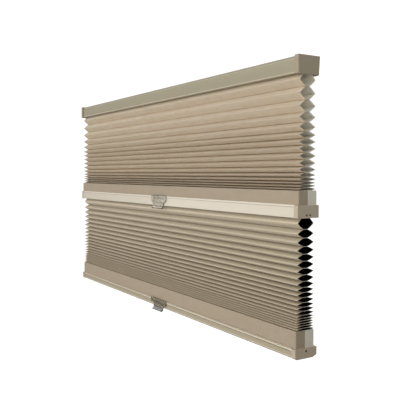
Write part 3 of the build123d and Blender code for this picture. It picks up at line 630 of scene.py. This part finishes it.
def fabric(name, node, cells, groups, bow, cloths, joint_range, seed):
    """A cellular fabric made in groups of half cells, one piece for each group.

    A fold stands out less by 0.2 of the half height that its cell is drawn open beyond 3 mm.
    """
    low, high = node_size(node)
    height = np.array(cells, float) * (high[2] - low[2]) / sum(cells)
    levels = high[2] - np.concatenate([[0], np.cumsum(height)])
    halves = np.repeat(height / 2, 2)
    marks = high[2] - np.concatenate([[0], np.cumsum(halves)])
    closed = np.zeros(len(halves))
    closed[[0, -1]] = halves[[0, -1]] / 2
    closed[1:-1] = (high[2] - low[2] - joint_range - closed.sum()) / (len(halves) - 2)
    flats = np.full(len(levels), GLUE_WIDTH / 2)
    flats[[0, -1]] = STRIP_NECK / 2
    depths = FOLD_REACH - 0.2 * np.maximum(height / 2 - 0.003, 0)
    stations = np.linspace(low[0], high[0], 49)
    first = 0
    for number, size in enumerate(groups, 1):
        chosen = range(first, first + size)
        parts = [half_cell_shell(k, marks, flats, depths, bow, stations, seed) for k in chosen]
        points, faces, which, uv, fold = (np.concatenate(x) for x in zip(*shifted(parts)))
        cell = piece(f"{name}_{number:02d}", points, faces, cloths, which, uv, fold, 50.0)
        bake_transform(cell)
        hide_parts(node)
        first += size
    assert first == len(halves)


def shifted(parts):
    """Renumbers the faces of several meshes so that they can be put in one."""
    count = 0
    for points, faces, which, uv, fold in parts:
        yield points, faces + count, which, uv, fold
        count += len(points)


def half_cell_shell(k, marks, flats, depths, bow, stations, seed):
    """The closed shell of half cell k: its outer line and a line one cloth inside it, carried along X.

    The inner line is the outer one drawn towards the fold's level and the middle, by a cloth's thickness in
    height and three in depth. Each point is moved in and out by its fold's ripple times its nearness to it.
    """
    upper = k % 2 == 0
    flat = flats[k // 2] if upper else flats[k // 2 + 1]
    outer, near = half_cell(marks[k], marks[k + 1], flat, depths[k // 2], bow, upper)
    level = marks[k + 1] if upper else marks[k]
    half = abs(marks[k] - marks[k + 1])
    inner = outer * (1 - 3 * CLOTH / depths[k // 2], 1 - CLOTH / half)
    inner[:, 1] = level + (outer[:, 1] - level) * (1 - CLOTH / half)
    sway = ripple(stations, 2 * (k // 2) + 1, seed)
    lift = ripple(stations, 2 * (k // 2) + 900, seed)
    count = len(outer)
    length = travelled(outer)
    points, faces, which, uv, fold = [], [], [], [], []
    for line, side in ((outer, 1), (inner, -1)):
        grid = np.zeros((len(stations), count, 3))
        grid[:, :, 0] = stations[:, None]
        grid[:, :, 1] = line[None, :, 0] + 0.00035 * sway[:, None] * near[None] * np.sign(line[None, :, 0])
        grid[:, :, 2] = line[None, :, 1] + 0.0003 * lift[:, None] * near[None] ** 2 * min(1.0, half / 0.006)
        mesh = quads(len(stations), count, False)
        if (side > 0) == upper:
            mesh = mesh[:, ::-1]
        front = np.tile(np.arange(count - 1) < (count - 1) / 2, len(stations) - 1)
        points.append(grid.reshape(-1, 3))
        faces.append(mesh + (0 if side > 0 else len(stations) * count))
        which.append(np.where(front, 0, 1) + (0 if side > 0 else 2))
        uv.append(np.stack([np.repeat(stations, count), np.tile(length + 0.037 * k, len(stations))], 1))
        fold.append(np.tile(near, len(stations)))
    below = len(stations) * count
    across = np.arange(count - 1)
    along = np.arange(len(stations) - 1)
    last = (len(stations) - 1) * count
    here, ahead = along * count, (along + 1) * count
    rims = [np.stack([a, b, below + b, below + a], 1)
            for a, b in ((across, across + 1), (last + across + 1, last + across), (ahead, here),
                         (here + count - 1, ahead + count - 1))]
    for rim in rims:
        faces.append(rim if upper else rim[:, ::-1])
        mark = (rim[:, 0] % count) < (count - 1) / 2
        which.append(np.where(mark, 0, 1))
    return (np.concatenate(points), np.concatenate(faces), np.concatenate(which), np.concatenate(uv),
            np.concatenate(fold))


# ---- Rails, wraps, pulls and cords -------------------------------------------------------------------
def headrail():
    """The channel: walls, a floor with the T slot, lips that turn in and down, and a groove in front."""
    low, high = node_size("headrail_channel")
    strip_high = node_size("head_fabric_strip")[1]
    wall, lip, drop = 0.0014, 0.010, 0.004
    y0, y1, z0, z1 = low[1], high[1], low[2], high[2]
    neck = STRIP_NECK / 2 + FIT
    head = strip_high[1] + FIT
    slot, floor = z0 + SLOT_LIP, z0 + SLOT_DEPTH
    groove, slope, deep = 0.0032, 0.0004, 0.0005
    inside = floor + wall
    outline = [
        (y0, z0), (-neck, z0), (-neck, slot), (-head, slot), (-head, floor), (head, floor), (head, slot),
        (neck, slot), (neck, z0), (y1, z0), (y1, z1), (y1 - lip, z1), (y1 - lip, z1 - drop),
        (y1 - lip + wall, z1 - drop), (y1 - lip + wall, z1 - wall), (y1 - wall, z1 - wall),
        (y1 - wall, inside), (y0 + wall, inside), (y0 + wall, z1 - wall), (y0 + lip - wall, z1 - wall),
        (y0 + lip - wall, z1 - drop), (y0 + lip, z1 - drop), (y0 + lip, z1), (y0, z1), (y0, z1 - groove),
        (y0 + deep, z1 - groove - slope), (y0 + deep, z1 - groove - 3 * slope),
        (y0, z1 - groove - 4 * slope),
    ]
    radii = np.full(len(outline), 0.0002)
    radii[[0, 9]] = 0.0013
    radii[[10, 23]] = 0.0009
    radii[[24, 25, 26, 27]] = 0.00015
    channel = carried("headrail_profile", [rounded(outline, radii)], np.linspace(low[0], high[0], 5),
                      [MATERIALS["headrail_channel"]])
    at = cord_x("upper_lift_cord_right")
    bore(channel, [(-at, 0), (at, 0)], CORD_HOLE, z0 - 0.01, inside + 0.001)
    stand_for(channel, "headrail_channel")


def moving_rail(name, slot_depth, cuts, bead):
    """A moving rail's section: stepped faces, ribs along the top, a beaded front and a hollow inside.

    With s the height's share from -1 at the foot of the front to 1 at its top, the front lies back by the
    bead times 1 - e^-((s - 0.9) / 0.13)^2 - e^-((s + 0.95) / 0.1)^2 + e^-((s - 0.62) / 0.09)^2, held at
    nothing or more: a bead along its top over a groove, and a finer one along its foot.
    """
    low, high = node_size(name)
    band_high = node_size(name.replace("_rail", "_spring_box"))[1]
    wall, step, step_height, rib = 0.0015, 0.0013, 0.003, 0.0012
    y0, y1, z0, z1 = low[1], high[1], low[2], high[2] - rib
    inner = band_high[1] + WRAP + FIT
    shoulder = z1 - step_height
    share = np.linspace(-1, 1, 61)[1:-1]
    rise = (shoulder - z0 - (cuts[0][1] if cuts else 0)) / 2
    centre = shoulder - rise
    swell = np.exp(-((share - 0.9) / 0.13) ** 2) + np.exp(-((share + 0.95) / 0.1) ** 2)
    back = bead * (1 - swell + np.exp(-((share - 0.62) / 0.09) ** 2))
    front = np.stack([y0 + np.maximum(back, 0), centre + share * rise], 1)
    foot = [(y0 + cuts[0][0], z0), (y0, z0 + cuts[0][1])] if cuts else [(y0, z0)]
    heel = [(y1, z0 + cuts[1][1]), (y1 - cuts[1][0], z0)] if cuts else [(y1, z0)]
    lean = 0.0003
    outline = [*foot, *front.tolist(), (y0, shoulder), (y0 + step, shoulder + lean), (y0 + step, z1 + rib),
               (-inner, z1 + rib), (-inner, z1), (inner, z1), (inner, z1 + rib), (y1 - step, z1 + rib),
               (y1 - step, shoulder + lean), (y1, shoulder), *heel]
    over = [0.0005, 0.0003, 0.0005, 0.0003, 0.0002]
    radii = [0.0007] * len(foot) + [0.0] * len(front) + over + over[::-1] + [0.0007] * len(heel)
    half = y1 - step - wall
    if slot_depth:
        neck, head = STRIP_NECK / 2 + FIT, STRIP_NECK / 2 + FIT + SLOT_HEAD
        slot, floor = z0 + SLOT_LIP, z0 + slot_depth
        outline += [(neck, z0), (neck, slot), (head, slot), (head, floor), (-head, floor), (-head, slot),
                    (-neck, slot), (-neck, z0)]
        radii += [0.0002] * 8
        base = floor + 0.0014
        cavity = [(-half, base), (half, base), (half, z1 - wall), (-half, z1 - wall)]
    else:
        base = z0 + wall
        cavity = [(-half, base + cuts[0][1]), (-half + cuts[0][0], base), (half - cuts[1][0], base),
                  (half, base + cuts[1][1]), (half, z1 - wall), (-half, z1 - wall)]
    rail = carried(f"{name}_profile", [rounded(outline, radii), rounded(cavity, 0.0004, 2)],
                   np.linspace(low[0], high[0], 5), [MATERIALS[name]])
    if slot_depth:
        at = cord_x("lower_lift_cord_right")
        bore(rail, [(-at, 0), (at, 0)], CORD_HOLE, z0 - 0.01, base + 0.001)
    stand_for(rail, name)


def pin_socket(name, end, y, z, body):
    """A dark cup in a rail's end cap that paints the shade inside its pin hole: a profile of radius and depth
    turned once about X.

    A point is at the radius times the cosine and sine of its turn, and at the cap's face plus the depth
    times the side that the cap is on.
    """
    radius = np.array([0, 1.15, 1.25, 1.45, 2.0, 2.1, 1.48, 1.42, 0]) / 1000
    out = np.array([-1.9, -1.9, 0.0, 0.15, 0.15, 0.0, 0.0, -2.1, -2.1]) / 1000
    turn = np.linspace(0, 2 * np.pi, 28, endpoint=False)
    side = np.sign(end)
    rows, columns = len(radius), len(turn)
    points = np.stack([np.broadcast_to((end + side * out)[:, None], (rows, columns)),
                       y + radius[:, None] * np.cos(turn), z + radius[:, None] * np.sin(turn)], -1)
    made = piece(name, points.reshape(-1, 3), quads(rows, columns, True), [MATERIALS["pin_socket"]])
    mesh = bmesh.new()
    mesh.from_mesh(made.data)
    bmesh.ops.remove_doubles(mesh, verts=mesh.verts, dist=1e-7)
    bmesh.ops.recalc_face_normals(mesh, faces=mesh.faces)
    mesh.to_mesh(made.data)
    mesh.free()
    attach(made, body)


def wrap(name, side):
    """Cloth round half of a spring box: down its long face, round its corners and along half of each end.

    Points follow a half outline of the box with rounded corners, u, and a line that climbs the face, turns
    over the top edge by an arc and runs in to the middle, v. The inner layer is one wrap further in.
    """
    node = f"{name}_wrap_{side}"
    low, high = node_size(node)
    sign = -1 if side == "front" else 1
    corner, edge = 0.0022, 0.0014
    half, depth = high[0], max(abs(low[1]), abs(high[1]))
    layers = []
    for inset in (0.0, WRAP):
        a, d, r = half - inset, depth - inset, corner - inset
        turn = np.linspace(0, np.pi / 2, 7)
        right = np.stack([a - r + r * np.cos(turn), d - r + r * np.sin(turn)], 1)
        long = np.linspace(a - r, -a + r, 61)[1:-1]
        end = np.array([0, 0.3, 0.7]) * d
        x = np.concatenate([[a] * 3, right[:, 0], long, -right[::-1, 0], [-a] * 3])
        y = np.concatenate([end, right[:, 1], np.full(len(long), d), right[::-1, 1], end[::-1]])
        top = high[2] - inset
        climb = np.concatenate([np.linspace(low[2], top - edge, 6), top - edge + edge * np.sin(turn[1:])])
        pull = np.concatenate([np.zeros(6), edge * (1 - np.cos(turn[1:]))])
        inward = np.stack([np.where(np.abs(x) > a - r, np.sign(x), 0.0),
                           np.where(y > d - r, 1.0, 0.0)], 1)
        px = x[None] - pull[:, None] * inward[None, :, 0]
        py = y[None] - pull[:, None] * inward[None, :, 1]
        rows_x = [px, px[-1][None] * np.ones((3, 1))]
        rows_y = [py, py[-1][None] * np.array([0.6, 0.3, 0.0])[:, None]]
        rows_z = [np.repeat(climb[:, None], len(x), 1), np.full((3, len(x)), top)]
        grid = np.stack([np.concatenate(rows_x), sign * np.concatenate(rows_y), np.concatenate(rows_z)], -1)
        layers.append(grid)
    rows, columns = layers[0].shape[:2]
    faces = shell_faces(rows, columns)
    if sign > 0:
        faces = faces[:, ::-1]
    points = np.concatenate([g.reshape(-1, 3) for g in layers])
    run, rise = travelled(layers[0][0]), travelled(layers[0][:, columns // 2])
    uv = np.stack([np.tile(run, rows), np.repeat(rise, columns)], 1)
    made = piece(f"{name}_{side}_wrap", points, faces, [WRAP_CLOTHS[side]], uv=np.concatenate([uv, uv]),
                 fold=np.zeros(2 * rows * columns), sharp=50.0)
    stand_for(made, node)


def pull_handle(name):
    """A clear pull: a plate down the rail's front that curls forward into a lip, with a hook along its top.

    The plate's mid line runs straight down and then round a quarter circle, and its half width shrinks from
    the plate's to the lip's by a smooth step from 0.30 to 0.72 of the way down. Its front stands out by
    0.4 mm times e^-((r - 1) / 0.16)^2 round three ovals of radius r, and by a rim at each end.
    """
    low, high = node_size(f"{name}_handle")
    back, thick, radius = node_size(f"{name}_cap_right")[0][1], 0.0022, 0.007
    pared = 0.0006
    hook_top, hook_thick, hook_gap = high[2], 0.001, 0.0014
    wide, narrow = high[0], 0.027
    turn = low[2] + radius
    straight = np.linspace(hook_top - 0.0003, turn, 40)
    angle = np.linspace(0, np.pi / 2, 14)[1:]
    bend = radius - thick / 2
    line_y = np.concatenate([np.full(len(straight), back - thick / 2),
                             back - radius + bend * np.cos(angle)])
    line_z = np.concatenate([straight, turn - bend * np.sin(angle)])
    tangent = np.gradient(np.stack([line_y, line_z], 1), axis=0)
    tangent /= np.linalg.norm(tangent, axis=1, keepdims=True)
    normal = np.stack([-tangent[:, 1], tangent[:, 0]], 1)
    down = np.linspace(0, 1, len(line_y))
    ease = np.clip((down - 0.30) / 0.42, 0, 1)
    reach = wide + (narrow - wide) * ease**2 * (3 - 2 * ease)
    across = np.sin(np.linspace(-np.pi / 2, np.pi / 2, 121))
    x = reach[:, None] * across[None]
    tall = (hook_top - turn) / 2
    height = (line_z[:, None] - (hook_top + turn) / 2) / tall
    rings = sum(np.exp(-((np.hypot((x - at) / 0.011, height / 0.5) - 1) / 0.16) ** 2)
                for at in (-0.024, 0, 0.024))
    relief = 0.0004 * rings + 0.0004 * np.exp(-((np.abs(across[None]) - 0.955) / 0.03) ** 2)
    layers = []
    for offset in (pared - thick / 2 - relief, np.full_like(relief, thick / 2)):
        layers.append(np.stack([x, line_y[:, None] + offset * normal[:, :1],
                                line_z[:, None] + offset * normal[:, 1:]], -1))
    faces = shell_faces(len(line_y), len(across))[:, ::-1]
    made = piece(f"{name}_pull", np.concatenate([g.reshape(-1, 3) for g in layers]), faces,
                 [MATERIALS["clear_handle"]], sharp=40.0)
    hook_front = back - thick + 0.0002
    hook_back = max(high[1], -node_size(f"{name}_spring_box")[1][1] - WRAP - hook_gap)
    section = [(hook_front, hook_top - hook_thick), (hook_back, hook_top - hook_thick),
               (hook_back, hook_top), (hook_front, hook_top)]
    hook = carried(f"{name}_pull_hook", [rounded(section, 0.0003, 3)], np.linspace(-0.035, 0.035, 9),
                   [MATERIALS["clear_handle"]])
    bpy.ops.object.select_all(action="DESELECT")
    hook.select_set(True)
    made.select_set(True)
    bpy.context.view_layer.objects.active = made
    bpy.ops.object.join()
    bevel(made, 0.0005, 3, 50)
    stand_for(made, f"{name}_handle")


def lift_cord(fabric_name, side, above):
    """A lift cord's straight run: rings of points round an upright line, and the knot as its own piece.

    A tube point is at the cord's radius times the cosine and sine of its turn. The knot's radius follows
    half a circle from pole to pole, and swells by 0.06 of itself along three winding ridges.
    """
    node = f"{fabric_name}_lift_cord_{side}"
    low, high = node_size(node)
    x = cord_x(node)
    knot = (high[0] - low[0]) / 2
    seat = high[2] - 2 * knot
    turn = np.linspace(0, 2 * np.pi, 17)
    ring = np.stack([x + CORD_RADIUS * np.cos(turn), CORD_RADIUS * np.sin(turn)], 1)
    points = np.concatenate([np.c_[ring, np.full(len(turn), z)] for z in (seat, low[2])])
    uv = np.concatenate([np.c_[turn / (2 * np.pi), np.full(len(turn), z)] for z in (seat, low[2])])
    faces = quads(2, len(turn), False)[:, ::-1]
    made = piece(f"{fabric_name}_cord_{side}", points, faces, [MATERIALS["lift_cord"]], uv=uv,
                 fold=np.zeros(len(points)))
    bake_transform(made)
    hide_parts(node)
    turn, pole = np.meshgrid(np.linspace(0, 2 * np.pi, 25), np.linspace(0, np.pi, 15))
    ball = knot - FIT
    swell = ball * (1 + 0.06 * np.sin(3 * turn + 4 * pole) * np.sin(pole))
    points = np.stack([x + swell * np.sin(pole) * np.cos(turn), swell * np.sin(pole) * np.sin(turn),
                       seat + knot + ball * np.cos(pole)], -1).reshape(-1, 3)
    uv = np.stack([turn / (2 * np.pi), seat + pole * knot], -1).reshape(-1, 2)
    tied = piece(f"{fabric_name}_knot_{side}", points, quads(*turn.shape, False)[:, ::-1],
                 [MATERIALS["lift_cord"]], uv=uv, fold=np.zeros(len(points)))
    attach(tied, above)


headrail()
moving_rail("middle_rail", SLOT_DEPTH, None, 0.0)
moving_rail("bottom_rail", 0.0, ((0.004, 0.003), (0.010, 0.0045)), 0.0016)
for part in [f"{rail}_cap_{word}" for rail in ("headrail", "middle", "bottom")
             for word in ("left", "right")]:
    stand_for(eased_copy(part, part.replace("_cap_", "_end_cap_"), 0.0007, 3), part)
# Dark cups in the end caps' pin holes paint the shade inside them.
for outer, word in enumerate(("left", "right")):
    box = node_size(f"middle_cap_{word}")
    for y, place in ((-0.0044, "front"), (0.0044, "back")):
        pin_socket(f"middle_socket_{word}_{place}", box[outer][0], y, box[0][2] + 0.0055, "middle_rail")
    box = node_size(f"bottom_cap_{word}")
    pin_socket(f"bottom_socket_{word}", box[outer][0], 0.0, box[1][2] - 0.006, "bottom_rail")
for part in ("bracket_left", "bracket_right"):
    stand_for(eased_copy(part, part + "_pressed", 0.0004, 2), part)
for rail in ("middle", "bottom"):
    for face in ("front", "back"):
        wrap(rail, face)
    pull_handle(rail)
joint_top = {j["name"]: j["range_m"][1] for j in frame["joints"] if j["name"].endswith("_rail_lift")}
fabric("upper_cells", "upper_fabric", UPPER_CELLS, UPPER_GROUPS, 1.15, UPPER_CLOTHS,
       joint_top["middle_rail_lift"], 3)
fabric("lower_cells", "lower_fabric", LOWER_CELLS, LOWER_GROUPS, 1.3, LOWER_CLOTHS,
       joint_top["bottom_rail_lift"], 8)
for side in ("left", "right"):
    lift_cord("upper", side, "headrail")
    lift_cord("lower", side, "middle_rail")

for name, node in frame["nodes"].items():
    if node.hide_render:
        continue
    node.data.materials.clear()
    node.data.materials.append(WOUND_CORD if SLOT_OF[name] == "lift_cord" else MATERIALS[SLOT_OF[name]])


# ---- Setting -----------------------------------------------------------------------------------------
def floor_paint():
    """Pale paint that looks evenly lit, and throws back only a little light."""
    made = coated("floor_paint", rgb(150, 150, 150), 0.8, 0.02, 0.01, 0.0)
    body = made.node_tree.nodes["Principled BSDF"]
    body.inputs["Emission Color"].default_value = (1, 1, 1, 1)
    seen = put(made.node_tree, "LightPath").outputs["Is Camera Ray"]
    made.node_tree.links.new(seen, body.inputs["Emission Strength"])
    return made


def floor():
    """A wide pale floor 1.3 m below the blind: one flat grid."""
    across, deep = np.meshgrid(np.linspace(-12, 12, 9), np.linspace(-12, 12, 9))
    points = np.stack([across, deep, np.full_like(across, cad_box[0][2] - 1.3)], -1)
    made = piece("studio_floor", points.reshape(-1, 3), quads(9, 9, False), [floor_paint()])


def softbox(name, place, target, size, power):
    """A white rectangular light that faces the target."""
    light = bpy.data.lights.new(name, "AREA")
    light.shape = "RECTANGLE"
    light.size, light.size_y = size
    light.energy = power
    made = placed(name, light)
    made.location = place
    made.rotation_euler = (Vector(target) - Vector(place)).to_track_quat("-Z", "Y").to_euler()


def setting():
    """Floor, pale surroundings, soft light from the front, both sides and the window, and the camera."""
    floor()
    world = bpy.data.worlds.new("studio")
    world.use_nodes = True
    world.node_tree.nodes["Background"].inputs["Color"].default_value = (1, 1, 1, 1)
    seen = put(world.node_tree, "LightPath").outputs["Is Camera Ray"]
    glow = remap(world.node_tree, seen, 0.0, 1.0, 0.46, 1.1)
    world.node_tree.links.new(glow, world.node_tree.nodes["Background"].inputs["Strength"])
    bpy.context.scene.world = world
    bpy.context.scene.view_settings.view_transform = "Standard"
    centre = (0, 0, -0.3)
    softbox("high_front", (-0.2, -1.7, 0.8), centre, (1.6, 0.8), 6)
    softbox("level_front", (0.3, -2.9, 0.3), centre, (1.6, 1.0), 15)
    softbox("low_front", (0.5, -2.6, -1.6), centre, (1.4, 0.8), 30)
    softbox("far_left", (-2.2, -2.2, -0.5), centre, (1.8, 0.7), 5)
    softbox("high_left", (-2.6, -1.6, 1.3), centre, (2.2, 0.6), 12)
    softbox("window", (0.4, 2.8, 0.5), centre, (2.4, 1.6), 26)
    softbox("near_right", (1.25, -0.45, 0.15), (0.56, 0.0, -0.25), (0.5, 0.4), 1.5)

    lens = bpy.data.cameras.new("camera")
    lens.lens = 54.72
    lens.shift_y = -0.030
    lens.sensor_width = 36
    lens.clip_end = 60
    yaw, pitch, roll = radians(-57.843), radians(-1.381), radians(0.023)
    ahead = Vector((np.sin(yaw) * np.cos(pitch), np.cos(yaw) * np.cos(pitch), np.sin(pitch)))
    right = Vector((np.cos(yaw), -np.sin(yaw), 0))
    over = right.cross(ahead)
    turned = Matrix.Rotation(-roll, 3, ahead)
    right, over = turned @ right, turned @ over
    view = placed("camera", lens)
    view.matrix_world = Matrix.Translation((1.4663, -0.8160, -0.2312)) @ Matrix(
        (right, over, -ahead)).transposed().to_4x4()
    bpy.context.scene.camera = view


setting()
bpy.context.view_layer.update()
